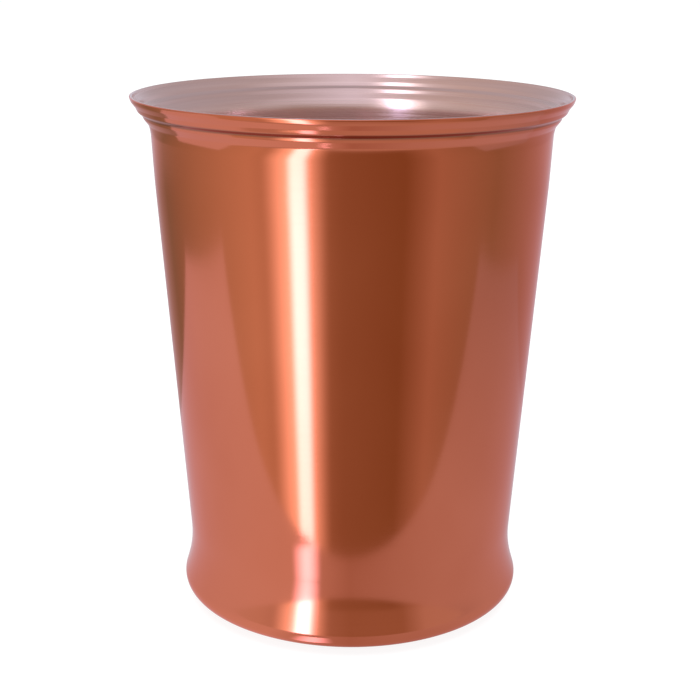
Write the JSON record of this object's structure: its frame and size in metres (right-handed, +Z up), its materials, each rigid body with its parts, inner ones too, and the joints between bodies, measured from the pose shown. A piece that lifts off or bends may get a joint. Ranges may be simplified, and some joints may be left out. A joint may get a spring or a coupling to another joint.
{
  "type": "julep cup",
  "caption": "Tapered metal drinking cup with a flared lip, fine reeds under it, a narrow waist and a rounded foot; copper outside, steel inside.",
  "frame": {"origin": "centre of the foot, on the plane the cup stands on", "axes": "+Z up along the cup's axis, from the foot to the lip; the cup is a body of revolution, so +X and +Y are free, and the reference view looks along +Y"},
  "size_m": [0.089, 0.089, 0.1065],
  "materials": {
    "polished_copper": "polished copper, clear, with faint fine lines round the wall",
    "satin_steel": "satin, spun lines round the wall",
    "base_copper": "satin copper, turned lines round the middle"
  },
  "bodies": {
    "root": {"outer_shell": "polished_copper", "inner_liner": "satin_steel", "base_disc": "base_copper"}
  },
  "joints": []
}
